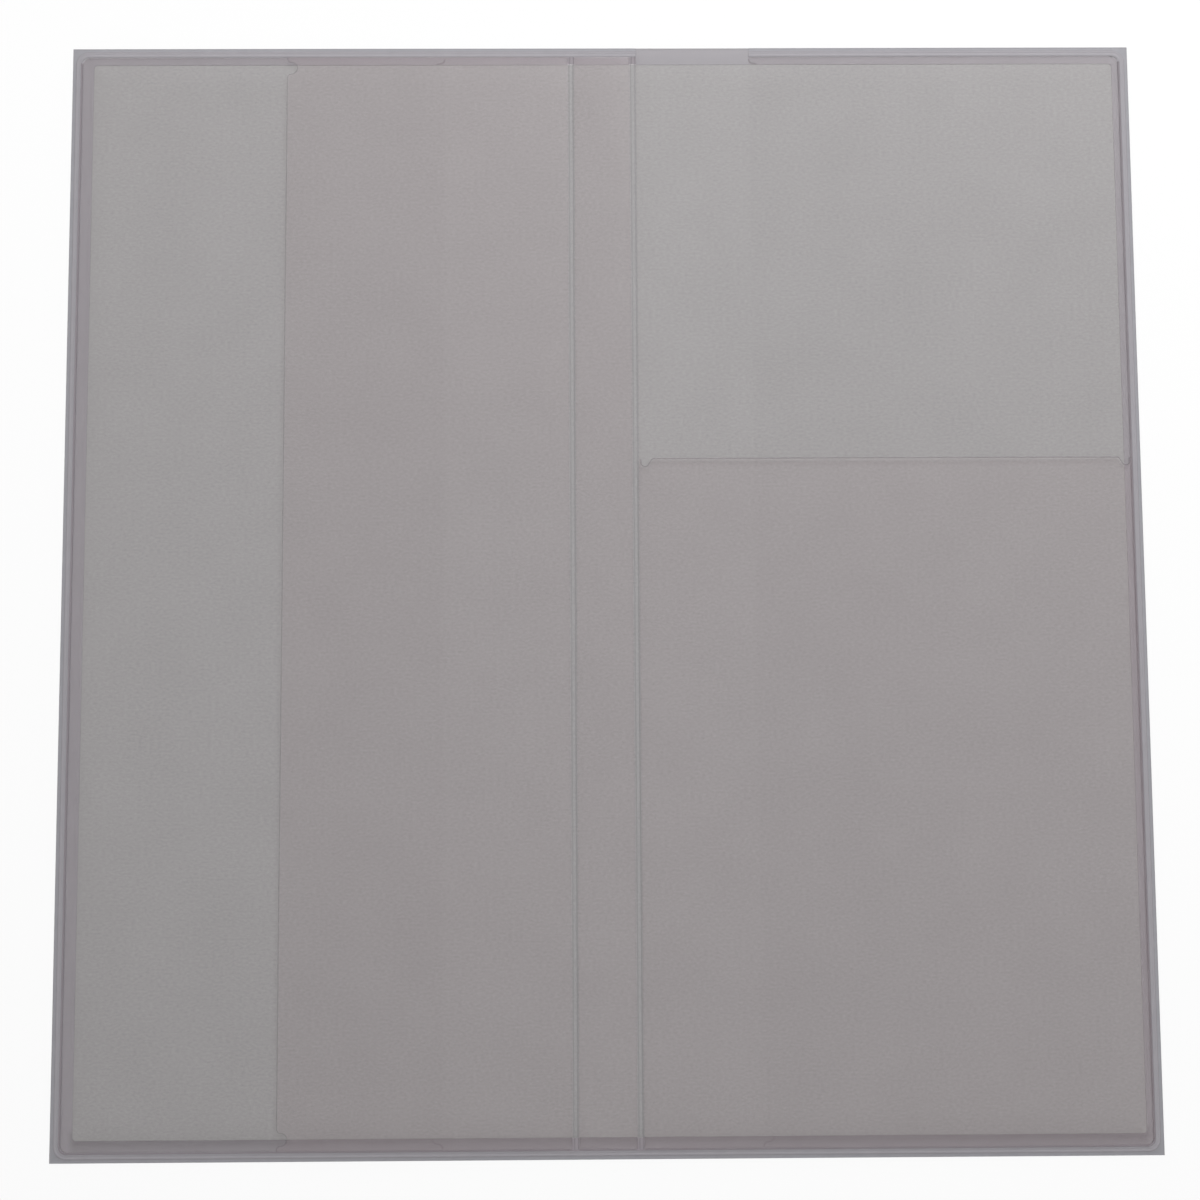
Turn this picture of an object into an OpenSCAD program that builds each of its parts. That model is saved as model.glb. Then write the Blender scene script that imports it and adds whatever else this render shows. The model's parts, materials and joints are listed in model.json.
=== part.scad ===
// Clear vinyl planner cover, opened flat with its outside up.
// X runs from the back cover to the front cover, Y towards the head, Z up. Units are millimetres.

/* [Cover] */
// Height of the cover from tail to head, over its welded border
cover_h = 193; // [150:1:240]
// Width of each cover half, from the border's outer side to its fold
panel_w = 88; // [80:1:130]
// Distance between the two folds of the spine
spine_w = 11; // [6:0.5:24]
// Radius of the border's outer corners
corner_r = 2.2; // [1.6:0.1:6]

/* [Films] */
// Thickness of the cover film
cover_t = 0.3; // [0.2:0.05:0.5]
// Thickness of the outside pocket films
pocket_t = 0.25; // [0.15:0.05:0.5]
// Thickness of the inside flap films
flap_t = 0.25; // [0.15:0.05:0.5]
// Free space between neighbouring layers
layer_gap = 0.05; // [0.02:0.01:0.2]
// How much rounder a film's corner is than the weld around it
film_corner_clear = 0.3; // [0.1:0.05:0.6]

/* [Pockets and flaps] */
// Distance of the back pocket's free edge from the border's outer side
back_pocket_inset = 37.5; // [20:0.5:60]
// Height of the front pocket's free edge above the border's tail side
front_pocket_h = 119.2; // [60:0.2:140]
// Width of the back flap, from the border's outer side to its free edge
back_flap_w = 65.5; // [30:0.1:75]
// Width of the front flap, from the border's outer side to its free edge
front_flap_w = 67.2; // [30:0.1:75]

/* [Relief notches] */
// Radius of the round floor of the notches in the upright mouths
side_notch_r = 1; // [0.6:0.05:1.6]
// Radius of the shoulders of the notches in the upright mouths
side_shoulder_r = 0.75; // [0.3:0.05:1.2]
// Radius of the round floor of the notches in the front pocket's mouth
top_notch_r = 0.7; // [0.5:0.05:1.4]
// Radius of the shoulders of the notches in the front pocket's mouth
top_shoulder_r = 0.6; // [0.3:0.05:1]
// Strip of film left between a notch and the weld beside it
notch_ear = 0.25; // [0.1:0.05:0.8]

/* [Insert] */
// Thickness of the card insert
insert_t = 0.25; // [0.1:0.05:0.5]
// Space from the back cover's border to the card, measured from the border's outer side
insert_back_margin = 3.1; // [2:0.1:6]
// Space from the front cover's border to the card, measured likewise
insert_front_margin = 2.2; // [2:0.1:6]
// Space from the head border to the card, measured likewise
insert_head_margin = 2.3; // [2:0.1:6]
// Space from the tail border to the card, measured likewise
insert_tail_margin = 3; // [2:0.1:6]
// Radius of the card's corners
insert_corner_r = 0.7; // [0.3:0.1:3]

/* [Edge welds] */
// Width of the welded border
weld_w = 1.1; // [0.9:0.05:1.4]
// Width of the raised bead along the inner side of the border
bead_w = 0.42; // [0.3:0.02:0.5]
// Slope of the bead's outer flank
bead_flank = 0.12; // [0.05:0.01:0.2]
// Thickness of the flattened band outside the bead
band_t = 0.4; // [0.25:0.05:0.6]
// Distance of the pressed ridge from the border's outer side
ridge_at = 0.16; // [0.12:0.02:0.3]
// Width of the pressed ridge
ridge_w = 0.2; // [0.1:0.02:0.24]
// Height of the pressed ridge
ridge_h = 0.1; // [0.04:0.02:0.2]
// Width of the thin lip outside the border, where the films are cut square
lip_w = 0.6; // [0.3:0.1:1.5]
// Radius of the lip's cut corners
lip_corner_r = 0.3; // [0.1:0.1:0.8]

/* [Folds] */
// Free space kept between the layers of neighbouring panels when a fold is at a right angle
fold_clear = 0.15; // [0.1:0.05:0.4]
// How far a fold's strip stays short of the panel that swings about it
strip_clear = 0.1; // [0.06:0.02:0.3]
// Radius of the round bead that runs along a fold, on its axis
fold_bead_r = 0.27; // [0.18:0.01:0.34]

/* [Hidden] */
$fn = 96;
// layers from the table up
insert_z = flap_t + layer_gap;
cover_z = insert_z + insert_t + layer_gap;
pocket_z = cover_z + cover_t + layer_gap;
stack_h = pocket_z + pocket_t;
// folds
axis_z = cover_z + cover_t / 2;
fold_gap = max(axis_z - insert_z, stack_h - axis_z) + fold_clear;
weld_setback = max(axis_z, stack_h - axis_z) + fold_clear;
// positions
half_h = cover_h / 2;
cut_half_h = half_h + lip_w;
back_fold_x = -spine_w / 2;
front_fold_x = spine_w / 2;
outer_x = panel_w + spine_w / 2;
film_half_h = half_h - weld_w;
film_corner_r = corner_r - weld_w + film_corner_clear;
band_z = axis_z - band_t / 2;
over = 1;
half_turn = 180;
quarter = 90;
film_tint = [0.80, 0.79, 0.83, 0.45];
weld_tint = [0.70, 0.68, 0.73, 0.8];
card_tint = [0.64, 0.64, 0.64];

// square from corner to corner, its corners on the low-x side rounded
module half_round_sheet(x0, x1, y0, y1, r) {
  difference() {
    translate([x0, y0]) square([x1 - x0, y1 - y0]);
    translate([x0, y1]) corner_cut(r);
    translate([x0, y0]) mirror([0, 1]) corner_cut(r);
  }
}

// what a round takes off a corner that points to -x, +y
module corner_cut(r) {
  difference() {
    translate([-over, -r]) square([r + over, r + over]);
    translate([r, -r]) circle(r = r);
  }
}

// relief notch that dips towards +x from a mouth along x = 0
module notch(r, shoulder) {
  translate([shoulder, 0]) circle(r = r);
  translate([-over, -r]) square([shoulder + over, 2 * r]);
  for (side = [0, 1]) mirror([0, side]) difference() {
    translate([-over, 0]) square([shoulder + over, r + shoulder]);
    translate([shoulder, r + shoulder]) circle(r = shoulder);
  }
}

// the two notches of an upright mouth, dipping towards +x
module side_notches(x) {
  reach = film_half_h - notch_ear - side_notch_r - side_shoulder_r;
  for (y = [-reach, reach]) translate([x, y]) notch(side_notch_r, side_shoulder_r);
}

// section of the welded border: outer side at x = 0, bead on the inner side, foot at the height given
module weld_section(foot) {
  bead_x = weld_w - bead_w;
  band_top = band_z + band_t;
  polygon([
    [0, band_z], [bead_x, band_z], [bead_x + bead_flank, foot], [weld_w, foot],
    [weld_w, stack_h], [bead_x + bead_flank, stack_h], [bead_x, band_top],
    [ridge_at + ridge_w, band_top], [ridge_at + ridge_w / 2, band_top + ridge_h],
    [ridge_at, band_top], [0, band_top]
  ]);
}

// the same section with the thin lip outside it
module lipped_section(foot) {
  weld_section(foot);
  translate([-lip_w, cover_z]) square([lip_w + weld_w / 2, cover_t]);
}

// straight border along X at the tail
module tail_bar(x0, x1, foot) {
  translate([x0, -half_h, 0]) rotate([quarter, 0, quarter])
    linear_extrude(x1 - x0) lipped_section(foot);
}

module head_bar(x0, x1, foot) {
  mirror([0, 1, 0]) tail_bar(x0, x1, foot);
}

// square-cut corner of the lip, set into the rounded border
module lip_corner() {
  reach = corner_r + lip_w;
  translate([0, 0, cover_z]) linear_extrude(cover_t) difference() {
    square(reach);
    circle(r = corner_r - weld_w / 2);
    translate([reach, reach]) mirror([1, 0]) corner_cut(lip_corner_r);
  }
}

// quarter ring of the border with its lip, turned to the corner asked for
module corner_ring(turn) {
  rotate([0, 0, turn]) {
    rotate_extrude(angle = quarter) translate([corner_r, 0]) mirror([1, 0]) weld_section(0);
    lip_corner();
  }
}

// upright border of the back cover with its two rounded corners
module side_bar() {
  translate([-outer_x, half_h - corner_r, 0]) rotate([quarter, 0, 0])
    linear_extrude(cover_h - 2 * corner_r) lipped_section(0);
  translate([-outer_x + corner_r, half_h - corner_r, 0]) corner_ring(quarter);
  translate([-outer_x + corner_r, corner_r - half_h, 0]) corner_ring(half_turn);
}

// strip that joins two panels at a fold, with a round bead on the fold's axis
module fold_strip(x) {
  translate([x - fold_gap, -cut_half_h, cover_z])
    cube([2 * fold_gap - strip_clear, 2 * cut_half_h, cover_t]);
  translate([x, cut_half_h, axis_z]) rotate([quarter, 0, 0])
    cylinder(r = fold_bead_r, h = 2 * cut_half_h);
}

module back_cover_film() {
  color(film_tint) translate([0, 0, cover_z]) linear_extrude(cover_t)
    half_round_sheet(weld_w - outer_x, back_fold_x - fold_gap, -film_half_h, film_half_h, film_corner_r);
}

module back_pocket_film() {
  mouth = back_pocket_inset - outer_x;
  color(film_tint) translate([0, 0, pocket_z]) linear_extrude(pocket_t) difference() {
    translate([mouth, -film_half_h]) square([back_fold_x - fold_gap - mouth, 2 * film_half_h]);
    side_notches(mouth);
  }
}

module back_flap_film() {
  mouth = back_flap_w - outer_x;
  color(film_tint) linear_extrude(flap_t) difference() {
    half_round_sheet(weld_w - outer_x, mouth, -film_half_h, film_half_h, film_corner_r);
    mirror([1, 0]) side_notches(-mouth);
  }
}

module back_insert() {
  color(card_tint) translate([0, 0, insert_z]) linear_extrude(insert_t)
    half_round_sheet(insert_back_margin - outer_x, back_fold_x - fold_gap,
      insert_tail_margin - half_h, half_h - insert_head_margin, insert_corner_r);
}

module back_head_weld() {
  color(weld_tint) head_bar(corner_r - outer_x, back_fold_x - weld_setback, 0);
}

module back_side_weld() {
  color(weld_tint) side_bar();
}

module back_tail_weld() {
  color(weld_tint) tail_bar(corner_r - outer_x, back_fold_x - weld_setback, 0);
}

module back_fold_weld() {
  color(weld_tint) fold_strip(back_fold_x);
}

module spine_film() {
  color(film_tint) translate([back_fold_x + fold_gap, -film_half_h, cover_z])
    cube([spine_w - 2 * fold_gap, 2 * film_half_h, cover_t]);
}

module spine_pocket_film() {
  color(film_tint) translate([back_fold_x + fold_gap, -film_half_h, pocket_z])
    cube([spine_w - 2 * fold_gap, 2 * film_half_h, pocket_t]);
}

module spine_insert() {
  color(card_tint) translate([back_fold_x + fold_gap, insert_tail_margin - half_h, insert_z])
    cube([spine_w - 2 * fold_gap, cover_h - insert_head_margin - insert_tail_margin, insert_t]);
}

module spine_head_weld() {
  color(weld_tint) head_bar(back_fold_x + weld_setback, front_fold_x - weld_setback, insert_z);
}

module spine_tail_weld() {
  color(weld_tint) tail_bar(back_fold_x + weld_setback, front_fold_x - weld_setback, insert_z);
}

module front_fold_weld() {
  color(weld_tint) fold_strip(front_fold_x);
}

// reaches out to the bare head edge where no flap is welded to it
module front_cover_film() {
  color(film_tint) translate([0, 0, cover_z]) linear_extrude(cover_t) {
    mirror([1, 0]) half_round_sheet(weld_w - outer_x, -front_fold_x - fold_gap,
      -film_half_h, film_half_h, film_corner_r);
    translate([front_fold_x + fold_gap, 0])
      square([panel_w - fold_gap - front_flap_w, cut_half_h]);
  }
}

module front_pocket_film() {
  mouth = front_pocket_h - half_h;
  reach = notch_ear + top_notch_r + top_shoulder_r;
  color(film_tint) translate([0, 0, pocket_z]) linear_extrude(pocket_t) difference() {
    mirror([1, 0]) half_round_sheet(weld_w - outer_x, -front_fold_x - fold_gap,
      -film_half_h, film_half_h, film_corner_r);
    translate([0, mouth]) square([outer_x, cover_h]);
    for (x = [front_fold_x + fold_gap + reach, outer_x - weld_w - reach])
      translate([x, mouth]) rotate(-quarter) notch(top_notch_r, top_shoulder_r);
  }
}

module front_flap_film() {
  mouth = outer_x - front_flap_w;
  color(film_tint) linear_extrude(flap_t) difference() {
    mirror([1, 0]) half_round_sheet(weld_w - outer_x, -mouth, -film_half_h, film_half_h, film_corner_r);
    side_notches(mouth);
  }
}

module front_insert() {
  color(card_tint) translate([0, 0, insert_z]) linear_extrude(insert_t) mirror([1, 0])
    half_round_sheet(insert_front_margin - outer_x, -front_fold_x - fold_gap,
      insert_tail_margin - half_h, half_h - insert_head_margin, insert_corner_r);
}

module front_head_weld() {
  color(weld_tint) head_bar(outer_x - front_flap_w, outer_x - corner_r, 0);
}

module front_side_weld() {
  color(weld_tint) mirror([1, 0, 0]) side_bar();
}

module front_tail_weld() {
  color(weld_tint) tail_bar(front_fold_x + weld_setback, outer_x - corner_r, 0);
}

back_cover_film();
back_pocket_film();
back_flap_film();
back_insert();
back_head_weld();
back_side_weld();
back_tail_weld();
back_fold_weld();
spine_film();
spine_pocket_film();
spine_insert();
spine_head_weld();
spine_tail_weld();
front_fold_weld();
front_cover_film();
front_pocket_film();
front_flap_film();
front_insert();
front_head_weld();
front_side_weld();
front_tail_weld();
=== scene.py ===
"""Clear vinyl planner cover, opened flat on a white table with its outside up."""

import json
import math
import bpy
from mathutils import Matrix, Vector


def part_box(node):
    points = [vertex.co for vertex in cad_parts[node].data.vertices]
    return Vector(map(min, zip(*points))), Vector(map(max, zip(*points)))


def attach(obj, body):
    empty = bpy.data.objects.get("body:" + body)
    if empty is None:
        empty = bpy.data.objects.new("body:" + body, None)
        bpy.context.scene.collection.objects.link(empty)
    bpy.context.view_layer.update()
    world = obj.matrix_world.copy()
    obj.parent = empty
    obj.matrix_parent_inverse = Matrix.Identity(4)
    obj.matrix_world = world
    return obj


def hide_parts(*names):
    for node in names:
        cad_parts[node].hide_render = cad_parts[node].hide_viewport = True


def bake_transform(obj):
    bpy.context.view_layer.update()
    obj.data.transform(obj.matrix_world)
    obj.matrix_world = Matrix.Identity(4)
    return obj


bl_info = {
    "name": "Planner cover",
    "version": (1, 0, 0),
    "blender": (4, 5, 0),
    "location": "View3D > Sidebar > Planner",
    "description": "Builds the films, welds and card insert of a clear planner cover, and its stage",
    "category": "Add Mesh",
}

import bmesh
import bpy
from bpy.props import FloatProperty, FloatVectorProperty, PointerProperty
from mathutils import Vector

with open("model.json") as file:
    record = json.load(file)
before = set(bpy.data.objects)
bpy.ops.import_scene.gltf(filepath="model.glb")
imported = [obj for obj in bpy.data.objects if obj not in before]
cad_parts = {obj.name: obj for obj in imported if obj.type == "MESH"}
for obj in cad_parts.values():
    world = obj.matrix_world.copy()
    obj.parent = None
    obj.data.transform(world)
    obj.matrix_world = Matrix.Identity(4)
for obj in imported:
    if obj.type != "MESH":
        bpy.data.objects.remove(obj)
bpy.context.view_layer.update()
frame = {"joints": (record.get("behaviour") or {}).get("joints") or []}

MM = 0.001
VINYL_IOR = 1.53
SHARP_ANGLE = math.radians(35)


def span(node):
    """Lowest and highest corner of a CAD node, in millimetres."""
    low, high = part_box(node)
    return [v / MM for v in low], [v / MM for v in high]


def linear(red, green, blue):
    """A colour as a picture stores it, 0 to 255, turned into scene values."""
    values = (v / 255 for v in (red, green, blue))
    return tuple(v / 12.92 if v <= 0.04045 else ((v + 0.055) / 1.055) ** 2.4 for v in values)


# Width of the thin lip outside the welded border, in millimetres
LIP = 0.6

# Places read from the solids, in millimetres
HALF_W = span("front_side_weld")[1][0] - LIP
HALF_H = span("front_side_weld")[1][1] - LIP
TOP = span("front_side_weld")[1][2]
BACK_FOLD, FRONT_FOLD = (joint["pos_m"][0] / MM for joint in frame["joints"])
AXIS_Z = frame["joints"][0]["pos_m"][2] / MM
FOLD_REACH = BACK_FOLD - span("back_cover_film")[1][0]
BORDER = HALF_H - span("back_cover_film")[1][1]
CORNER = span("back_side_weld")[1][0] + HALF_W
FLAP_Z = span("back_flap_film")[0][2], span("back_flap_film")[1][2]
CARD_Z = span("back_insert")[0][2], span("back_insert")[1][2]
COVER_Z = span("back_cover_film")[0][2], span("back_cover_film")[1][2]
POCKET_Z = span("back_pocket_film")[0][2], span("back_pocket_film")[1][2]
CARD_LEFT, CARD_TAIL = span("back_insert")[0][:2]
CARD_RIGHT, CARD_HEAD = span("front_insert")[1][:2]
POCKET_MOUTH_X = span("back_pocket_film")[0][0]
POCKET_MOUTH_Y = span("front_pocket_film")[1][1]
BACK_FLAP_MOUTH = span("back_flap_film")[1][0]
FRONT_FLAP_MOUTH = span("front_flap_film")[0][0]
FILM_X = HALF_W - BORDER
FILM_Y = HALF_H - BORDER

# The films' corners stay clear of the border's round inner corners
FILM_CORNER = CORNER - BORDER + 0.3


# Sizes and colours that a user may change


def length(name, text, default):
    """A length, with its default in millimetres."""
    return FloatProperty(name=name, description=text, default=default * MM, unit="LENGTH", precision=5)


def colour(name, text, default):
    """A colour, with its default as a picture stores it."""
    return FloatVectorProperty(
        name=name, description=text, default=linear(*default), subtype="COLOR", min=0, max=1
    )


class PlannerSizes(bpy.types.PropertyGroup):
    """Sizes of the finer shapes that the films and welds carry."""

    rim: length("Rim", "Width of the rounded rim around each film", 0.18)
    rim_drop: length("Rim drop", "How far a film's rim rounds off", 0.03)
    side_notch: length("Side notch", "Radius of the notches in the upright mouths", 1.0)
    side_shoulder: length("Side shoulder", "Radius of the shoulders of those notches", 0.75)
    notch_ear: length("Notch ear", "Film left between a side notch and the weld", 0.25)
    end_notch: length("End notch", "Radius of the notches that end the front pocket's mouth", 0.6)
    end_depth: length("End depth", "Depth of those notches", 1.38)
    end_shoulder: length("End shoulder", "Radius of their shoulders towards the mouth", 0.8)
    end_ear: length("End ear", "Width of the film between such a notch and the weld", 0.42)
    card_corner: length("Card corner", "Radius of the card's corners", 0.7)
    swell: length("Swell", "Height of the slow swells that all the layers share", 0.16)
    mouth_lift: length("Mouth lift", "How far a pocket's free edge stands off", 0.22)
    margin_dip: length("Margin dip", "How far the films sink beside the card", 0.04)
    mesh_step: length("Mesh step", "Distance between the lines of a film's mesh", 4.0)


class PlannerColours(bpy.types.PropertyGroup):
    """Colours of the finishes."""

    card: colour("Card", "Plain card", (164, 164, 164))
    film: colour("Film", "Faint haze of the clear vinyl", (191, 165, 170))
    margin: colour("Margin", "Vinyl beside the card, layer on layer", (139, 136, 141))
    rim: colour("Rim", "Cut edges of the vinyl", (108, 100, 106))
    band: colour("Band", "Flattened band of the border weld", (156, 153, 158))
    lip: colour("Lip", "Cut lip outside the border weld", (152, 151, 156))
    # Painted shade: partly the weld's pressed lines, partly the shade on the bead's inner flank and outer
    # edge
    line: colour("Line", "Pressed lines of the border weld", (134, 127, 133))
    crest: colour("Crest", "Raised bead of the fold welds", (150, 136, 141))
    # Painted shade: the grooves' dark colour stands for the shade in the pressed recesses
    groove: colour("Groove", "Pressed grooves of the fold welds", (130, 122, 128))
    foot: colour("Foot", "Ends of the fold welds beside the card", (150, 144, 149))


# Finishes


class Wire:
    """A socket of a node tree. Sums and products of wires add Math nodes."""

    def __init__(self, tree, socket=None):
        self.tree, self.socket = tree, socket

    def node(self, kind, settings=None, sockets=None, out=0):
        """Adds a node with its settings and the values or links of its sockets."""
        made = self.tree.nodes.new(kind)
        for key, value in (settings or {}).items():
            setattr(made, key, value)
        for key, value in (sockets or {}).items():
            if isinstance(value, Wire):
                self.tree.links.new(value.socket, made.inputs[key])
            else:
                made.inputs[key].default_value = value
        return Wire(self.tree, made.outputs[out])

    def math(self, operation, *terms):
        """A Math node on numbers and wires."""
        return self.node("ShaderNodeMath", {"operation": operation}, dict(enumerate(terms)))

    def step(self, low, high):
        """0 below low, 1 above high, smooth between."""
        return self.node(
            "ShaderNodeMapRange",
            {"interpolation_type": "SMOOTHSTEP"},
            {"Value": self, "From Min": low, "From Max": high},
        )

    def mix(self, factor, first, second):
        """Colour from first at 0 to second at 1."""
        ends = [c if isinstance(c, Wire) else (*c, 1.0) for c in (first, second)]
        return self.node("ShaderNodeMix", {"data_type": "RGBA"}, {0: factor, 6: ends[0], 7: ends[1]}, 2)

    def noise(self, place, size, detail, roughness=0.5):
        """Cloudy noise of about that grain size, 0 to 1."""
        return self.node(
            "ShaderNodeTexNoise",
            None,
            {"Vector": place, "Scale": 1 / size, "Detail": detail, "Roughness": roughness},
        )

    def bump(self, height, depth):
        """A surface that stands up by depth millimetres where height is 1."""
        return self.node("ShaderNodeBump", None, {"Height": height, "Distance": depth * MM, "Strength": 1.0})

    def __add__(self, other):
        return self.math("ADD", self, other)

    def __sub__(self, other):
        return self.math("SUBTRACT", self, other)

    def __rsub__(self, other):
        return self.math("SUBTRACT", other, self)

    def __mul__(self, other):
        return self.math("MULTIPLY", self, other)

    __radd__ = __add__
    __rmul__ = __mul__


def finish_named(name):
    """A new material with one Principled shader: (material, its tree as a wire, the shader)."""
    material = bpy.data.materials.new(name)
    material.use_nodes = True
    tree = material.node_tree
    return material, Wire(tree), tree.nodes["Principled BSDF"]


def flat_place(wire):
    """Where a point lies on the open cover, in millimetres: (vector, x, y)."""
    place = wire.node("ShaderNodeUVMap", {"uv_map": "Flat"})
    place = wire.node("ShaderNodeVectorMath", {"operation": "SCALE"}, {0: place, "Scale": 2 * HALF_H})
    parts = wire.node("ShaderNodeSeparateXYZ", None, {0: place})
    y = Wire(wire.tree, parts.socket.node.outputs[1])
    return place, parts - HALF_W, y - HALF_H


def feed(wire, shader, **sockets):
    """Links or sets the shader's sockets by name, with _ for a space."""
    for key, value in sockets.items():
        socket = shader.inputs[key.replace("_", " ")]
        if isinstance(value, Wire):
            wire.tree.links.new(value.socket, socket)
        else:
            socket.default_value = value


def toned(tone, share):
    """A colour made darker, or paler up to white."""
    return tuple(min(1.0, c * share) for c in tone)


def card_finish(colours):
    """Plain uncoated card: fine fibre grain, slow clouding and a faint painted shade where a flap lies under
    it.
    """
    material, wire, shader = finish_named("plain_card")
    place, x, _ = flat_place(wire)
    along_fibre, blur = (0.55, 1.0, 1.0), 0.8
    drawn = wire.node("ShaderNodeVectorMath", {"operation": "MULTIPLY"}, {0: place, 1: along_fibre})
    grain = wire.noise(drawn, size=0.36, detail=2.0, roughness=0.6)
    cloud = wire.noise(place, size=11.0, detail=1.0)
    # Painted shade: the card is darker over the flaps, standing in for the light that comes back through the
    # thin card
    past_back = x.step(BACK_FLAP_MOUTH - blur, BACK_FLAP_MOUTH + blur)
    free_of_flap_shade = past_back - x.step(FRONT_FLAP_MOUTH - blur, FRONT_FLAP_MOUTH + blur)
    tone = (grain - 0.5) * 1.9 + (cloud - 0.5) * 0.35 + free_of_flap_shade * 0.12 + 0.45
    shade = wire.mix(tone, toned(colours.card, 0.9), toned(colours.card, 1.1))
    feed(wire, shader, Base_Color=shade, Roughness=0.84 + grain * 0.1)
    feed(wire, shader, Specular_IOR_Level=0.25, Normal=wire.bump(grain, depth=0.006))
    return material


def film_finish(colours):
    """Upper face of a clear soft film: a faint pink haze, glossier and hazier at a slant."""
    material, wire, shader = finish_named("clear_film")
    place, _, _ = flat_place(wire)
    cling = wire.noise(place, size=30.0, detail=0.0)
    slant = wire.node("ShaderNodeLayerWeight", None, {"Blend": 0.5}, "Facing")
    alpha = 0.076 + cling * 0.008 + slant * slant * slant * slant * 0.45
    feed(wire, shader, Alpha=alpha, Roughness=0.16 + cling * 0.12)
    feed(wire, shader, Base_Color=(*colours.film, 1.0), IOR=VINYL_IOR)
    return material


def underside_finish():
    """Lower face of a pocket or flap, and a weld's wall at the head: fully clear."""
    material, wire, shader = finish_named("film_underside")
    feed(wire, shader, Alpha=0.0)
    return material


def flap_edge_seen(x, y, mouth, inward, sizes):
    """Mask of a flap's cut edge as it shows through the margin, from its notch out to the weld."""
    place, radius, shoulder = side_notches(sizes)[0][1]
    along = x.math("ABSOLUTE", y) - place
    depth = (x - mouth) * inward - shoulder
    past = along - (radius + shoulder)
    bowl = x.math("ABSOLUTE", x.math("SQRT", along * along + depth * depth) - radius)
    bend = x.math("ABSOLUTE", x.math("SQRT", past * past + depth * depth) - shoulder)
    in_bowl = depth.step(-0.02, 0.02)
    gap = bowl * in_bowl + bend * (1 - in_bowl)
    return (1 - gap.step(0.04, 0.2)) * (1 - past.step(0.0, 0.1))


def past_card(wire, x, y, corner):
    """How far a point lies from the card's outline drawn in by the radius of its corners."""
    half_w, half_h = (CARD_RIGHT - CARD_LEFT) / 2 - corner, (CARD_HEAD - CARD_TAIL) / 2 - corner
    past_x = wire.math("MAXIMUM", wire.math("ABSOLUTE", x - (CARD_RIGHT + CARD_LEFT) / 2) - half_w, 0.0)
    past_y = wire.math("MAXIMUM", wire.math("ABSOLUTE", y - (CARD_HEAD + CARD_TAIL) / 2) - half_h, 0.0)
    return wire.math("SQRT", past_x * past_x + past_y * past_y)


def margin_finish(colours, sizes):
    """Lower face of the cover film: clear over the card and cloudy beside it.

    It is paler on the unwelded tab at the head, carries a painted shadow of the card below its tail edge,
    and shows the cut edges of the flaps below it.
    """
    material, wire, shader = finish_named("film_margin")
    place, x, y = flat_place(wire)
    corner = sizes.card_corner / MM
    beside = past_card(wire, x, y, corner).step(corner - 0.08, corner + 0.02)
    cling = wire.noise(place, size=12.0, detail=1.0)
    tone = wire.mix(cling, toned(colours.margin, 0.94), toned(colours.margin, 1.06))
    tab = x.step(FRONT_FOLD, FRONT_FOLD + 0.1) * (1 - x.step(FRONT_FLAP_MOUTH - 0.1, FRONT_FLAP_MOUTH))
    tone = wire.mix(tab * y.step(CARD_HEAD - 0.1, CARD_HEAD), tone, toned(colours.lip, 0.93))
    # Painted shadow: the margin is darker just below the card's tail edge, within the card's width, as if
    # the card cast it
    card_shadow_span = x.step(CARD_LEFT - 1.0, CARD_LEFT + 0.6) - x.step(CARD_RIGHT - 0.6, CARD_RIGHT + 1.0)
    tail = y.step(CARD_TAIL - 3.0, CARD_TAIL + 0.1) * (1 - y.step(CARD_TAIL + 1.0, CARD_TAIL + 2.0))
    tone = wire.mix(card_shadow_span * tail * 0.95, tone, toned(colours.margin, 0.6))
    edges = flap_edge_seen(x, y, BACK_FLAP_MOUTH, -1, sizes)
    edges += flap_edge_seen(x, y, FRONT_FLAP_MOUTH, 1, sizes)
    tone = wire.mix(edges * 0.7, tone, toned(colours.margin, 0.5))
    feed(wire, shader, Base_Color=tone, Alpha=beside * 0.92)
    feed(wire, shader, Roughness=0.5 + cling * 0.1, IOR=VINYL_IOR, Specular_IOR_Level=0.3)
    return material


def pressed_finish(name, tone, alpha):
    """Vinyl that a blade or a hot bar has pressed: a little cloudy, with a fine mottle; the tone it is given
    may also carry painted shade.
    """
    material, wire, shader = finish_named(name)
    place, _, _ = flat_place(wire)
    mottle = wire.noise(place, size=2.4, detail=1.0)
    shade = wire.mix(mottle, toned(tone, 0.95), toned(tone, 1.05))
    feed(wire, shader, Base_Color=shade, Roughness=0.5 + mottle * 0.2, Normal=wire.bump(mottle, depth=0.02))
    feed(wire, shader, Alpha=alpha, IOR=VINYL_IOR, Specular_IOR_Level=0.12)
    return material


# Pressed finishes: name of the material, its colour and how far it hides what lies under it
PRESSED = {
    "rim": ("film_rim", "rim", 0.2),
    # Painted shadow: a darker copy of the rim along the front pocket's mouth, standing in for the shade
    # along it
    "mouth": ("front_mouth_rim", "rim", 0.34),
    "band": ("weld_band", "band", 0.8),
    "lip": ("cut_lip", "lip", 0.8),
    # Painted shade: the weld line is partly a pressed line, partly shade on the bead's flank
    "line": ("weld_line", "line", 0.8),
    "crest": ("fold_crest", "crest", 0.06),
    # Painted shade in the fold welds' grooves
    "groove": ("fold_groove", "groove", 0.22),
    "foot": ("fold_foot", "foot", 0.92),
}


def finishes(context):
    """Every finish of the cover, made once."""
    colours = context.scene.planner_colours
    sizes = context.scene.planner_sizes
    made = bpy.data.materials
    looks = {
        "card": made.get("plain_card") or card_finish(colours),
        "film": made.get("clear_film") or film_finish(colours),
        "under": made.get("film_underside") or underside_finish(),
        "margin": made.get("film_margin") or margin_finish(colours, sizes),
    }
    for key, (name, tone, alpha) in PRESSED.items():
        looks[key] = made.get(name) or pressed_finish(name, getattr(colours, tone), alpha)
    return looks


# Shapes, in millimetres


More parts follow.
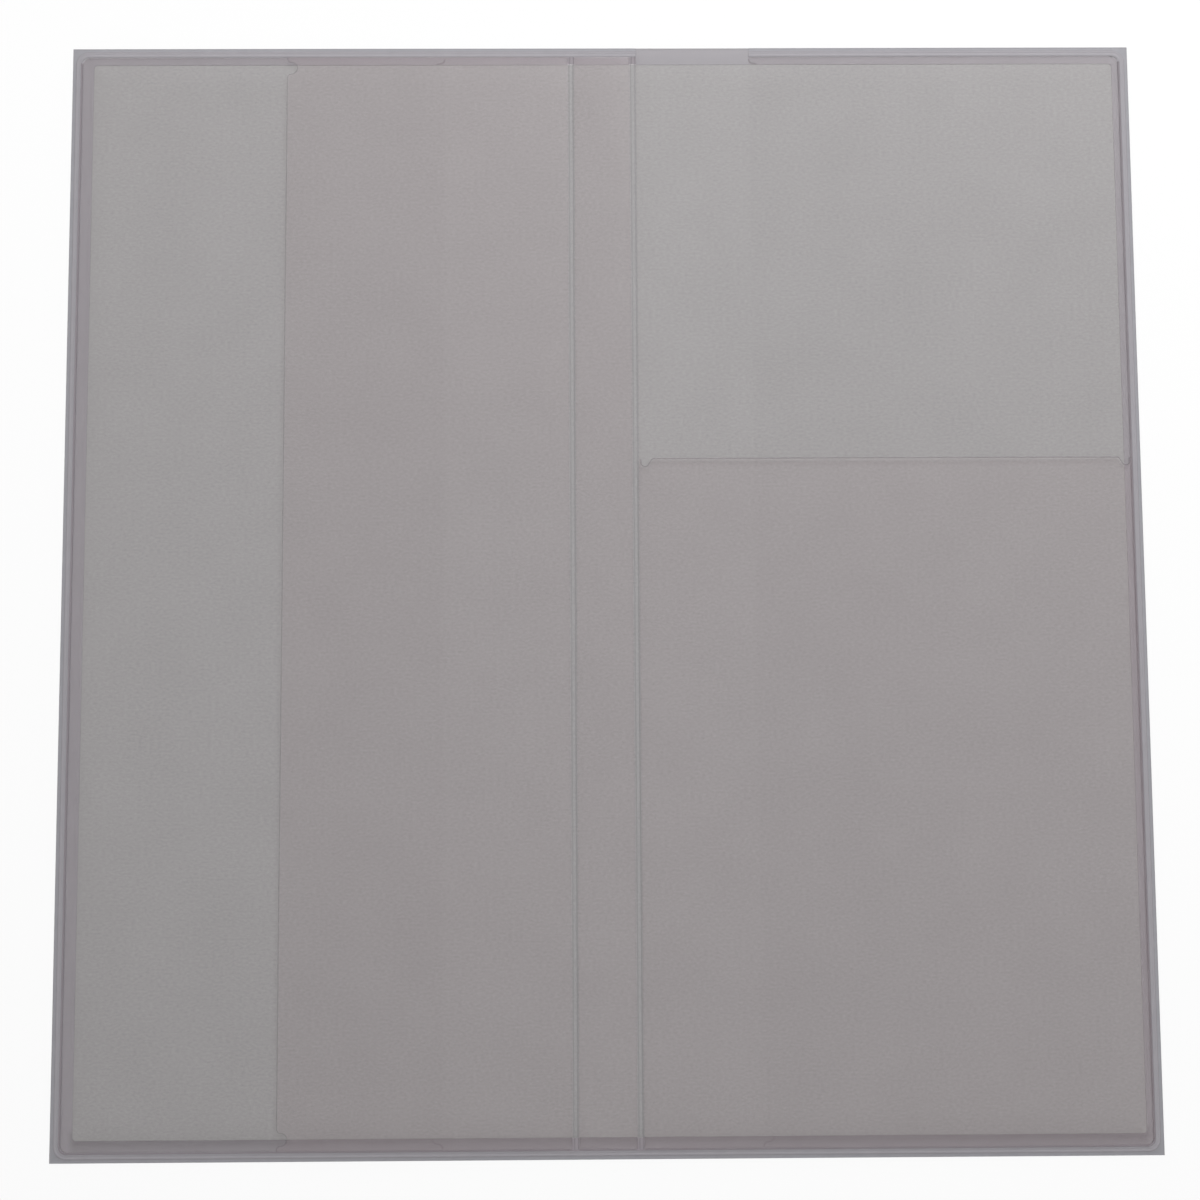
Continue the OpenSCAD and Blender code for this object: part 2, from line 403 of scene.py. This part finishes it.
def swell_at(x, y, height):
    """Height of the slow swell shared by all the layers."""
    wave = math.sin(x / 21.0 + 0.6) * math.cos(y / 27.0) + math.sin(y / 17.0 + x / 40.0)
    return height * (0.5 + 0.25 * wave)


def ease(value):
    """Smooth step from 0 to 1."""
    value = min(1.0, max(0.0, value))
    return value * value * (3 - 2 * value)


def beside_card(x, y):
    """0 over the card and 1 in the margin at its sides and tail."""
    sinks_over, rises_over = 0.7, 0.6
    from_card = max(CARD_LEFT - x, x - CARD_RIGHT, CARD_TAIL - y)
    from_weld = min(FILM_X - abs(x), FILM_Y - abs(y))
    return ease(from_card / sinks_over) * ease(from_weld / rises_over)


def arc(cx, cy, radius, start, end, steps=10):
    """Points along a circle between two angles in degrees."""
    turns = [math.radians(start + (end - start) * i / steps) for i in range(steps + 1)]
    return [(cx + radius * math.cos(t), cy + radius * math.sin(t)) for t in turns]


def notch(cx, cy, along, inward, radius, shoulder, steps=8):
    """Points of a relief notch on a mouth, met while walking along the mouth."""
    path = arc(-radius - shoulder, shoulder, shoulder, -90, 0, steps)
    path += arc(0, shoulder, radius, 180, 0, 2 * steps)[1:]
    path += arc(radius + shoulder, shoulder, shoulder, 180, 270, steps)[1:]
    return [(cx + t * along[0] + n * inward[0], cy + t * along[1] + n * inward[1]) for t, n in path]


def side_notches(sizes):
    """The notches that end an upright mouth as (place, radius, shoulder), and their depth with the rim."""
    radius, shoulder = sizes.side_notch / MM, sizes.side_shoulder / MM
    place = FILM_Y - sizes.notch_ear / MM - radius - shoulder
    return [(-place, radius, shoulder), (place, radius, shoulder)], radius + shoulder + sizes.rim / MM


def end_notch(sizes):
    """Notch that ends a mouth beside a weld, as points of (distance from the weld, depth)."""
    radius, shoulder = sizes.end_notch / MM, sizes.end_shoulder / MM
    depth, ear = sizes.end_depth / MM, sizes.end_ear / MM
    steep, ear_turn = 30, ear * 0.85
    lean = math.radians(steep)
    slope = depth - (radius + shoulder) * math.sin(lean)
    middle = ear + radius
    last = middle + (radius + shoulder) * math.cos(lean) + slope * math.tan(lean)
    path = [(0.0, 0.0), *arc(ear - ear_turn, ear_turn, ear_turn, 270, 360, 6)]
    path += arc(middle, depth - radius, radius, 180, steep, 14)
    return path + arc(last, shoulder, shoulder, 180 + steep, 270, 8)


def outline(x0, x1, y0, y1, rounds=(0, 0, 0, 0), left=(), right=()):
    """Closed outline of a sheet, anticlockwise from its tail left corner, with rounded corners and notches.

    rounds gives the radii of the tail left, tail right, head right and head left corners.
    """
    tail_left, tail_right, head_right, head_left = rounds
    path = arc(x0 + tail_left, y0 + tail_left, tail_left, 180, 270) if tail_left else [(x0, y0)]
    path += arc(x1 - tail_right, y0 + tail_right, tail_right, 270, 360) if tail_right else [(x1, y0)]
    for place, radius, shoulder in sorted(right):
        path += notch(x1, place, (0, 1), (-1, 0), radius, shoulder)
    path += arc(x1 - head_right, y1 - head_right, head_right, 0, 90) if head_right else [(x1, y1)]
    path += arc(x0 + head_left, y1 - head_left, head_left, 90, 180) if head_left else [(x0, y1)]
    for place, radius, shoulder in sorted(left, reverse=True):
        path += notch(x0, place, (0, -1), (1, 0), radius, shoulder)
    return path


def lines_between(low, high, step, extra=()):
    """Places between two ends, about a step apart, and the extra ones that lie there."""
    clear = 0.05
    count = max(1, round((high - low) / step))
    places = [low + (high - low) * i / count for i in range(1, count)]
    return sorted({round(p, 4) for p in [*places, *extra] if low + clear < p < high - clear})


def put(name, points, faces, marks, materials):
    """A mesh object from points in millimetres, with the flat place of each point as its UV."""
    mesh = bpy.data.meshes.new(name)
    mesh.from_pydata([(x * MM, y * MM, z * MM) for x, y, z in points], [], faces)
    mesh.validate()
    for material in materials:
        mesh.materials.append(material)
    mesh.polygons.foreach_set("material_index", marks)
    mesh.polygons.foreach_set("use_smooth", [True] * len(faces))
    mesh.set_sharp_from_angle(angle=SHARP_ANGLE)
    flat = mesh.uv_layers.new(name="Flat")
    for loop in mesh.loops:
        x, y, _ = mesh.vertices[loop.vertex_index].co
        flat.data[loop.index].uv = ((x / MM + HALF_W) / (2 * HALF_H), (y / MM + HALF_H) / (2 * HALF_H))
    piece = bpy.data.objects.new(name, mesh)
    bpy.context.scene.collection.objects.link(piece)
    return piece


def sheet(name, path, low, high, rise, materials, sizes, extra_x=(), extra_y=(), free=None, seam=None):
    """A thin closed sheet with a rounded upper rim.

    path is its outline, rise(x, y) what lifts it off its level, and free(x, y) is true on a cut edge.
    At x = seam it meets another sheet flush, with no rounding.
    """
    same_place, most_drop = 0.002, (high - low) * 0.35
    rim, drop = sizes.rim / MM, min(sizes.rim_drop / MM, most_drop)
    grid = bmesh.new()
    grid.faces.new([grid.verts.new((x, y, 0)) for x, y in path])
    grid.normal_update()
    ring = bmesh.ops.inset_region(
        grid, faces=grid.faces[:], thickness=rim, use_boundary=True, use_even_offset=True
    )["faces"]
    for face in ring:
        place = face.calc_center_median()
        face.material_index = 1 if free and free(place.x, place.y) else 0
    step = sizes.mesh_step / MM
    xs, ys = [p[0] for p in path], [p[1] for p in path]
    cuts = [((x, 0, 0), (1, 0, 0)) for x in lines_between(min(xs), max(xs), step, extra_x)]
    cuts += [((0, y, 0), (0, 1, 0)) for y in lines_between(min(ys), max(ys), step, extra_y)]
    for place, normal in cuts:
        geometry = grid.verts[:] + grid.edges[:] + grid.faces[:]
        bmesh.ops.bisect_plane(grid, geom=geometry, dist=same_place, plane_co=place, plane_no=normal)
    bmesh.ops.triangulate(grid, faces=[f for f in grid.faces if len(f.verts) > 4])
    grid.verts.index_update()
    edge = {v.index for e in grid.edges if e.is_boundary for v in e.verts}
    count = len(grid.verts)
    upper, lower = [], []
    for v in grid.verts:
        x, y = v.co.x, v.co.y
        shift = rise(x, y)
        soft = drop if v.index in edge and (seam is None or abs(x - seam) > 0.01) else 0
        upper.append((x, y, high + shift - soft))
        lower.append((x, y, low + shift))
    faces, marks = [], []
    for face in grid.faces:
        corners = [v.index for v in face.verts]
        faces += [corners, [i + count for i in reversed(corners)]]
        marks += [face.material_index, 2]
    for face in grid.faces:
        for loop in face.loops:
            if loop.edge.is_boundary:
                a, b = loop.vert.index, loop.link_loop_next.vert.index
                faces.append([b, a, a + count, b + count])
                marks.append(face.material_index)
    grid.free()
    return put(name, upper + lower, faces, marks, materials)


def sweep(stations, sections, marks_of, rise):
    """Points, faces and finishes of a closed bar through stations of (x, y, inward x, inward y).

    sections gives each station its loop of (inward, up) points, and marks_of the finishes of each stretch.
    """
    points, faces, marks = [], [], []
    count = len(sections[0])
    for (x, y, inward_x, inward_y), section in zip(stations, sections):
        for depth, up in section:
            px, py = x + inward_x * depth, y + inward_y * depth
            points.append((px, py, up + rise(px, py)))
    for s, stretch in enumerate(marks_of):
        for i in range(count):
            j = (i + 1) % count
            a, b = s * count, (s + 1) * count
            faces.append([a + i, b + i, b + j, a + j])
            marks.append(stretch[i])
    last = len(marks_of) * count
    faces += [list(range(count)), [last + i for i in reversed(range(count))]]
    marks += [marks_of[0][0], marks_of[-1][0]]
    return points, faces, marks


def joined(*bars):
    """Several bars as the points, faces and finishes of one mesh."""
    points, faces, marks = [], [], []
    for more_points, more_faces, more_marks in bars:
        faces += [[i + len(points) for i in face] for face in more_faces]
        points += more_points
        marks += more_marks
    return points, faces, marks


def flip_out(piece):
    """Turns every face of a closed piece outwards."""
    shape = bmesh.new()
    shape.from_mesh(piece.data)
    bmesh.ops.recalc_face_normals(shape, faces=shape.faces[:])
    shape.to_mesh(piece.data)
    shape.free()
    return piece


def film_rise(sizes, mouth=None, dips=True):
    """What lifts a film: the shared swell, the dip beside the card and a pocket's open mouth."""
    swell, dip, lift = sizes.swell / MM, sizes.margin_dip / MM, sizes.mouth_lift / MM

    def rise(x, y):
        height = swell_at(x, y, swell)
        if dips:
            height -= dip * beside_card(x, y)
        return height + (lift * mouth(x, y) if mouth else 0)

    return rise


def stands_for(piece, body, slot, *nodes):
    """Lets a piece replace its solids and move with a body, if one alone carries it."""
    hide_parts(*nodes)
    if body:
        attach(piece, body)
    return piece


def cut_sheet(piece, path, *welds):
    """Measures a film that its welds hold flat, cut to the size of its outline, and does nothing with the
    sizes.
    """
    xs, ys = zip(*path)
    (max(xs) - min(xs)) * MM
    (max(ys) - min(ys)) * MM


def card_lines():
    """Mesh lines that follow the card's edges, across and along."""
    near = (-0.3, 0.0, 0.3, 0.6, 0.9)
    across = [CARD_LEFT - d for d in near] + [CARD_RIGHT + d for d in near]
    return across, [CARD_TAIL - d for d in near] + [CARD_HEAD + d for d in near]


# Pieces


class PLANNER_OT_card(bpy.types.Operator):
    """Build the plain card insert, which runs on across the spine"""

    bl_idname = "planner.card"
    bl_label = "Card insert"

    def execute(self, context):
        sizes, looks = context.scene.planner_sizes, finishes(context)
        rise = film_rise(sizes, dips=False)
        corner = sizes.card_corner / MM
        fine_step = 0.15
        bend = [d * fine_step for d in range(-8, 9)]
        seam = (BACK_FOLD + FRONT_FOLD) / 2
        halves = (
            ("card_insert_back", CARD_LEFT, seam, (corner, 0, 0, corner), BACK_FOLD,
             ("back_cover", "spine"), ("back_insert", "spine_insert"), "back_flap_film"),
            ("card_insert_front", seam, CARD_RIGHT, (0, corner, corner, 0), FRONT_FOLD,
             ("spine", "front_cover"), ("front_insert",), "front_flap_film"),
        )
        for name, x0, x1, rounds, fold, bodies, nodes, flap in halves:
            path = outline(x0, x1, CARD_TAIL, CARD_HEAD, rounds)
            bends = [fold + d for d in bend]
            piece = sheet(name, path, *CARD_Z, rise, [looks["card"]] * 3, sizes, bends, seam=seam)
            stands_for(piece, None, "card", *nodes)
            (fold - FOLD_REACH) * MM
            (fold + FOLD_REACH) * MM
            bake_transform(piece)
            (x1 - x0) * MM
        return {"FINISHED"}


class PLANNER_OT_cover_films(bpy.types.Operator):
    """Build the cover film: back, spine and front"""

    bl_idname = "planner.cover_films"
    bl_label = "Cover film"

    def execute(self, context):
        sizes, looks = context.scene.planner_sizes, finishes(context)
        rise = film_rise(sizes)
        extra_x, extra_y = card_lines()
        skin = [looks["film"], looks["rim"], looks["margin"]]
        back_rounds, front_rounds = (FILM_CORNER, 0, 0, FILM_CORNER), (0, FILM_CORNER, FILM_CORNER, 0)
        back = outline(-FILM_X, BACK_FOLD - FOLD_REACH, -FILM_Y, FILM_Y, back_rounds)
        spine = outline(BACK_FOLD + FOLD_REACH, FRONT_FOLD - FOLD_REACH, -FILM_Y, FILM_Y)
        start = FRONT_FOLD + FOLD_REACH
        front = outline(start, FILM_X, -FILM_Y, FILM_Y, front_rounds)[:-1]
        head = HALF_H + LIP
        front += [(FRONT_FLAP_MOUTH, FILM_Y), (FRONT_FLAP_MOUTH, head), (start, head)]

        def tab_edge(x, y):
            return y > HALF_H

        sheets = (
            ("back_cover_sheet", back, "back_cover", "back_cover_film", "back_side_weld"),
            ("spine_cover_sheet", spine, "spine", "spine_film", None),
            ("front_cover_sheet", front, "front_cover", "front_cover_film", "front_side_weld"),
        )
        for name, path, body, node, weld in sheets:
            piece = sheet(name, path, *COVER_Z, rise, skin, sizes, extra_x, extra_y, tab_edge)
            stands_for(piece, body, "clear_vinyl", node)
            if weld:
                cut_sheet(piece, path, weld)
        return {"FINISHED"}


class PLANNER_OT_pocket_films(bpy.types.Operator):
    """Build the outside pockets: the back one runs on over the spine"""

    bl_idname = "planner.pocket_films"
    bl_label = "Outside pockets"

    def execute(self, context):
        sizes, looks = context.scene.planner_sizes, finishes(context)
        extra_x, extra_y = card_lines()
        rim, end = sizes.rim / MM, end_notch(sizes)
        ends, depth = side_notches(sizes)
        back = outline(POCKET_MOUTH_X, BACK_FOLD - FOLD_REACH, -FILM_Y, FILM_Y, left=ends)

        def back_cut(x, y):
            return x < POCKET_MOUTH_X + depth

        def back_mouth(x, y):
            across = max(0.0, math.cos(math.pi * y / (2 * FILM_Y)))
            return math.exp(-(((x - POCKET_MOUTH_X) / 11.0) ** 2)) * across**0.6

        start = FRONT_FOLD + FOLD_REACH
        front = outline(start, FILM_X, -FILM_Y, POCKET_MOUTH_Y, (0, FILM_CORNER, 0, 0))[:-2]
        front += [(FILM_X - away, POCKET_MOUTH_Y - down) for away, down in end]
        front += [(start + away, POCKET_MOUTH_Y - down) for away, down in reversed(end)]

        def front_cut(x, y):
            return y > POCKET_MOUTH_Y - sizes.end_depth / MM - rim and start + rim < x < FILM_X - rim

        def front_mouth(x, y):
            across = max(0.0, math.sin(math.pi * (x - start) / (FILM_X - start)))
            return math.exp(-(((POCKET_MOUTH_Y - y) / 12.0) ** 2)) * across**0.6

        spine = outline(BACK_FOLD + FOLD_REACH, FRONT_FOLD - FOLD_REACH, -FILM_Y, FILM_Y)
        sheets = (
            ("back_pocket_sheet", back, back_mouth, back_cut, "rim",
             "back_cover", "back_pocket_film", "back_fold_weld"),
            ("spine_pocket_sheet", spine, None, None, "rim",
             "spine", "spine_pocket_film", None),
            ("front_pocket_sheet", front, front_mouth, front_cut, "mouth",
             "front_cover", "front_pocket_film", "front_side_weld"),
        )
        for name, path, mouth, free, edge, body, node, weld in sheets:
            rise = film_rise(sizes, mouth)
            skin = [looks["film"], looks[edge], looks["under"]]
            piece = sheet(name, path, *POCKET_Z, rise, skin, sizes, extra_x, extra_y, free)
            stands_for(piece, body, "clear_vinyl", node)
            if weld:
                cut_sheet(piece, path, weld)
        return {"FINISHED"}


class PLANNER_OT_flap_films(bpy.types.Operator):
    """Build the inside flaps that take the planner's boards"""

    bl_idname = "planner.flap_films"
    bl_label = "Inside flaps"

    def execute(self, context):
        sizes, looks = context.scene.planner_sizes, finishes(context)
        rise = film_rise(sizes, dips=False)
        skin = [looks["film"], looks["rim"], looks["under"]]
        back_rounds, front_rounds = (FILM_CORNER, 0, 0, FILM_CORNER), (0, FILM_CORNER, FILM_CORNER, 0)
        ends, depth = side_notches(sizes)
        back = outline(-FILM_X, BACK_FLAP_MOUTH, -FILM_Y, FILM_Y, back_rounds, right=ends)
        front = outline(FRONT_FLAP_MOUTH, FILM_X, -FILM_Y, FILM_Y, front_rounds, left=ends)
        sheets = (
            ("back", back, lambda x, y: x > BACK_FLAP_MOUTH - depth),
            ("front", front, lambda x, y: x < FRONT_FLAP_MOUTH + depth),
        )
        for cover, path, free in sheets:
            piece = sheet(f"{cover}_flap_sheet", path, *FLAP_Z, rise, skin, sizes, free=free)
            stands_for(piece, f"{cover}_cover", "clear_vinyl", f"{cover}_flap_film")
            cut_sheet(piece, path, f"{cover}_side_weld")
        return {"FINISHED"}


# Finishes of a border, in the order of its marks, and of a fold, which has the border's after its own two
BORDER_SKIN = ("band", "line", "lip", "under")
BAND, SHADED_LINE, CUT_LIP, CLEAR = range(len(BORDER_SKIN))
FOLD_SKIN = ("crest", "groove", *BORDER_SKIN, "foot")
CREST, SHADED_GROOVE = range(2)
FOOT = len(FOLD_SKIN) - 1


def border_section(foot, lip=LIP):
    """Section of the border weld from its cut lip as points of (inward, up), and each side's finish."""
    half_band = 0.2
    low, high = AXIS_Z - half_band, AXIS_Z + half_band
    inner = BORDER
    thin, thick = COVER_Z
    loop = [
        (-lip, AXIS_Z - 0.06), (0.04 - lip, thin), (-0.04, thin), (0.03, low), (inner - 0.48, low),
        (inner - 0.38, foot + 0.2), (inner - 0.3, foot + 0.05), (inner - 0.2, foot), (inner - 0.06, foot),
        (inner, foot + 0.06), (inner, TOP - 0.19), (inner - 0.07, TOP - 0.175), (inner - 0.16, TOP - 0.16),
        (inner - 0.26, TOP - 0.16), (inner - 0.36, TOP - 0.18), (inner - 0.46, TOP - 0.21),
        (inner - 0.58, high + 0.01), (inner - 0.68, high), (0.36, high), (0.3, high + 0.015),
        (0.24, high + 0.015), (0.16, high), (0.05, high - 0.01), (-0.02, thick), (0.04 - lip, thick),
        (-lip, AXIS_Z + 0.08),
    ]
    # The bead's inner flank and crest (10 to 12) and its outer edge (22) take the line's painted shade
    finish = dict.fromkeys((10, 11, 12, 22), SHADED_LINE) | dict.fromkeys((0, 1, 23, 24, 25), CUT_LIP)
    return loop, [finish.get(i, BAND) for i in range(len(loop))]


def border_marks(foot, stations):
    """Finish of each stretch of a border.

    Along the head the inner line carries no painted shade, only the band's colour, and the wall below it is
    clear.
    """
    lined = border_section(foot)[1]
    at_head = {9: CLEAR, 10: BAND, 11: BAND, 12: BAND}
    head = [at_head.get(i, mark) for i, mark in enumerate(lined)]
    head_turn = -0.2
    return [head if inward_y < head_turn else lined for _, _, _, inward_y in stations[:-1]]


def straight(x0, y0, x1, y1, inward, step=3.0):
    """Stations of a straight bar, about a step apart."""
    count = max(1, math.ceil(math.hypot(x1 - x0, y1 - y0) / step))
    return [(x0 + (x1 - x0) * i / count, y0 + (y1 - y0) * i / count, *inward) for i in range(count + 1)]


class PLANNER_OT_border_welds(bpy.types.Operator):
    """Build the welded border along the head, the sides and the tail"""

    bl_idname = "planner.border_welds"
    bl_label = "Border welds"

    def execute(self, context):
        sizes, looks = context.scene.planner_sizes, finishes(context)
        rise = film_rise(sizes, dips=False)
        skin = [looks[key] for key in BORDER_SKIN]
        for cover, sign in (("back", -1), ("front", 1)):
            side = straight(sign * HALF_W, HALF_H - CORNER, sign * HALF_W, CORNER - HALF_H, (-sign, 0))
            cx, cy = sign * (HALF_W - CORNER), HALF_H - CORNER
            head_turn = arc(cx, cy, CORNER, 90, 0 if sign > 0 else 180, 12)
            head = [(px, py, (cx - px) / CORNER, (cy - py) / CORNER) for px, py in head_turn]
            tail = [(px, -py, ix, -iy) for px, py, ix, iy in reversed(head)]
            self.bar(f"{cover}_side_border", head[:-1] + side + tail[1:], 0, skin, rise,
                     f"{cover}_cover", f"{cover}_side_weld")
        bars = (
            ("back_head", "back_cover", 1, 0), ("back_tail", "back_cover", -1, 0),
            ("spine_head", "spine", 1, CARD_Z[0]), ("spine_tail", "spine", -1, CARD_Z[0]),
            ("front_head", "front_cover", 1, 0), ("front_tail", "front_cover", -1, 0),
        )
        for part, body, sign, foot in bars:
            low, high = span(f"{part}_weld")
            stations = straight(low[0], sign * HALF_H, high[0], sign * HALF_H, (0, -sign))
            self.bar(f"{part}_border", stations, foot, skin, rise, body, f"{part}_weld")
        return {"FINISHED"}

    def bar(self, name, stations, foot, skin, rise, body, node):
        """One bar of the border. Its lip runs on to a square cut where the border turns a corner."""
        out = [(CORNER + LIP) / max(abs(ix), abs(iy)) - CORNER for _, _, ix, iy in stations]
        sections = [border_section(foot, lip)[0] for lip in out]
        bar = sweep(stations, sections, border_marks(foot, stations), rise)
        piece = flip_out(put(name, *bar, skin))
        piece.visible_shadow = False
        stands_for(piece, body, "welded_vinyl", node)


class PLANNER_OT_fold_welds(bpy.types.Operator):
    """Build the welded fold lines either side of the spine"""

    bl_idname = "planner.fold_welds"
    bl_label = "Fold welds"

    def execute(self, context):
        sizes, looks = context.scene.planner_sizes, finishes(context)
        rise = film_rise(sizes, dips=False)
        skin = [looks[key] for key in FOLD_SKIN]
        edge, low, groove = FOLD_REACH + 0.03, 0.62, 0.96
        half = [
            (edge, low), (edge, 1.04), (edge - 0.06, 1.08), (0.48, 1.05), (0.42, groove),
            (0.27, groove), (0.21, 1.02), (0.11, 1.06), (0.0, 1.07),
        ]
        loop = [(-x, z) for x, z in half[:-1]] + [(x, z) for x, z in reversed(half)]
        loop += [(edge * d, low) for d in (0.6, 0.2, -0.2, -0.6)]
        # The sides of the two grooves, which take the painted shade of the recess
        groove_sides = {3, 4, 5, 10, 11, 12}
        pressed = [SHADED_GROOVE if i in groove_sides else CREST for i in range(len(loop))]
        places = sorted([-FILM_Y, CARD_TAIL, CARD_HEAD, FILM_Y, *lines_between(CARD_TAIL, CARD_HEAD, 3.0)])
        rows = [pressed if CARD_TAIL <= y < CARD_HEAD else [FOOT] * len(loop) for y in places[:-1]]
        wide = BACK_FOLD - span("back_head_weld")[1][0] + 0.02
        across, own = border_section(CARD_Z[0])[0], SHADED_GROOVE + 1
        folds = (
            ("back_fold_line", BACK_FOLD, wide, ("back_cover", "spine"), "back_fold_weld"),
            ("front_fold_line", FRONT_FOLD, FOLD_REACH, ("spine", "front_cover"), "front_fold_weld"),
        )
        for name, fold, head_end, bodies, node in folds:
            bars = [sweep([(fold, y, 1, 0) for y in places], [loop] * len(places), rows, rise)]
            for sign, end in ((1, head_end), (-1, wide)):
                stations = straight(fold - wide, sign * HALF_H, fold + end, sign * HALF_H, (0, -sign), 0.2)
                lines = [[mark + own for mark in row] for row in border_marks(CARD_Z[0], stations)]
                bars.append(sweep(stations, [across] * len(stations), lines, rise))
            piece = flip_out(put(name, *joined(*bars), skin))
            piece.visible_shadow = False
            stands_for(piece, None, "welded_vinyl", node)
            (fold - wide) * MM
            (fold + wide) * MM
            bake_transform(piece)
        return {"FINISHED"}


# Stage


def stage_finish():
    """White table that catches the shadow near the cover and thins out to the white room farther off.

    The camera also sees through it, so that a cover half folded down past the table's edge still shows.
    """
    material, wire, shader = finish_named("white_table")
    feed(wire, shader, Base_Color=(0.9, 0.9, 0.9, 1.0), Roughness=0.9, Specular_IOR_Level=0.1)
    seen = wire.node("ShaderNodeLightPath")
    outputs = seen.socket.node.outputs
    glossy, through, shadow = (
        Wire(wire.tree, outputs[f"Is {kind} Ray"]) for kind in ("Glossy", "Transmission", "Shadow")
    )
    place = wire.node("ShaderNodeNewGeometry")
    near, far, share_near = 0.13, 0.45, 0.86
    away = wire.node("ShaderNodeVectorMath", {"operation": "LENGTH"}, {0: place}, "Value").step(near, far)
    share = share_near + away * (1 - share_near)
    glow = wire.node("ShaderNodeEmission", None, {"Color": (1, 1, 1, 1), "Strength": 1.0})
    clear = wire.node("ShaderNodeBsdfTransparent")
    plain = Wire(wire.tree, shader.outputs[0])
    mirrored = wire.math("MAXIMUM", glossy, through) * share
    lit = wire.node("ShaderNodeMixShader", None, {0: mirrored, 1: plain, 2: glow})
    passed = wire.math("MAXIMUM", seen * share, shadow)
    shown = wire.node("ShaderNodeMixShader", None, {0: passed, 1: lit, 2: clear})
    wire.tree.links.new(shown.socket, wire.tree.nodes["Material Output"].inputs["Surface"])
    return material


class PLANNER_OT_stage(bpy.types.Operator):
    """Set the white table, the soft light and the camera"""

    bl_idname = "planner.stage"
    bl_label = "Stage"

    def execute(self, context):
        scene = context.scene
        scene.view_settings.view_transform = "Standard"
        scene.cycles.transparent_max_bounces = 32
        side, level = 4.0, -0.0002
        table = bpy.data.meshes.new("table")
        corners = [(x, y, level) for x, y in ((-side, -side), (side, -side), (side, side), (-side, side))]
        table.from_pydata(corners, [], [(0, 1, 2, 3)])
        table.materials.append(stage_finish())
        floor = bpy.data.objects.new("table", table)
        scene.collection.objects.link(floor)

        world = bpy.data.worlds.new("soft_room")
        world.use_nodes = True
        scene.world = world
        wire = Wire(world.node_tree)
        seen = wire.node("ShaderNodeLightPath")
        sky = world.node_tree.nodes["Background"]
        sky.inputs["Color"].default_value = (1, 1, 1, 1)
        room_light = 0.36
        strength = room_light + seen * (1 - room_light)
        world.node_tree.links.new(strength.socket, sky.inputs["Strength"])

        lamp = bpy.data.lights.new("window", "AREA")
        lamp.shape, lamp.size, lamp.energy = "SQUARE", 0.5, 5.8
        window = bpy.data.objects.new("window", lamp)
        window.location = (0.18, 0.52, 0.54)
        window.rotation_euler = (-Vector(window.location)).to_track_quat("-Z", "Y").to_euler()
        scene.collection.objects.link(window)

        lens = bpy.data.cameras.new("camera")
        lens.sensor_width, lens.sensor_fit, lens.lens = 36.0, "HORIZONTAL", 65.677
        lens.clip_start = 0.01
        camera = bpy.data.objects.new("camera", lens)
        camera.location = (-0.005544, -0.045247, 0.378414)
        camera.rotation_euler = [math.radians(a) for a in (6.52146, -0.66933, -0.34759)]
        scene.collection.objects.link(camera)
        scene.camera = camera
        return {"FINISHED"}


# Add-on

STEPS = (
    PLANNER_OT_stage,
    PLANNER_OT_card,
    PLANNER_OT_flap_films,
    PLANNER_OT_cover_films,
    PLANNER_OT_pocket_films,
    PLANNER_OT_border_welds,
    PLANNER_OT_fold_welds,
)


class PLANNER_PT_panel(bpy.types.Panel):
    """Lists the steps that build the cover"""

    bl_label = "Planner cover"
    bl_idname = "PLANNER_PT_panel"
    bl_space_type = "VIEW_3D"
    bl_region_type = "UI"
    bl_category = "Planner"

    def draw(self, context):
        for step in STEPS:
            self.layout.operator(step.bl_idname)
        for group in (context.scene.planner_sizes, context.scene.planner_colours):
            box = self.layout.box()
            for key in group.__annotations__:
                box.prop(group, key)


CLASSES = (PlannerSizes, PlannerColours, *STEPS, PLANNER_PT_panel)


def register():
    for kind in CLASSES:
        bpy.utils.register_class(kind)
    bpy.types.Scene.planner_sizes = PointerProperty(type=PlannerSizes)
    bpy.types.Scene.planner_colours = PointerProperty(type=PlannerColours)


def unregister():
    del bpy.types.Scene.planner_colours
    del bpy.types.Scene.planner_sizes
    for kind in reversed(CLASSES):
        bpy.utils.unregister_class(kind)


def main():
    register()
    for step in STEPS:
        group, name = step.bl_idname.split(".")
        getattr(getattr(bpy.ops, group), name)()


if __name__ == "__main__":
    main()
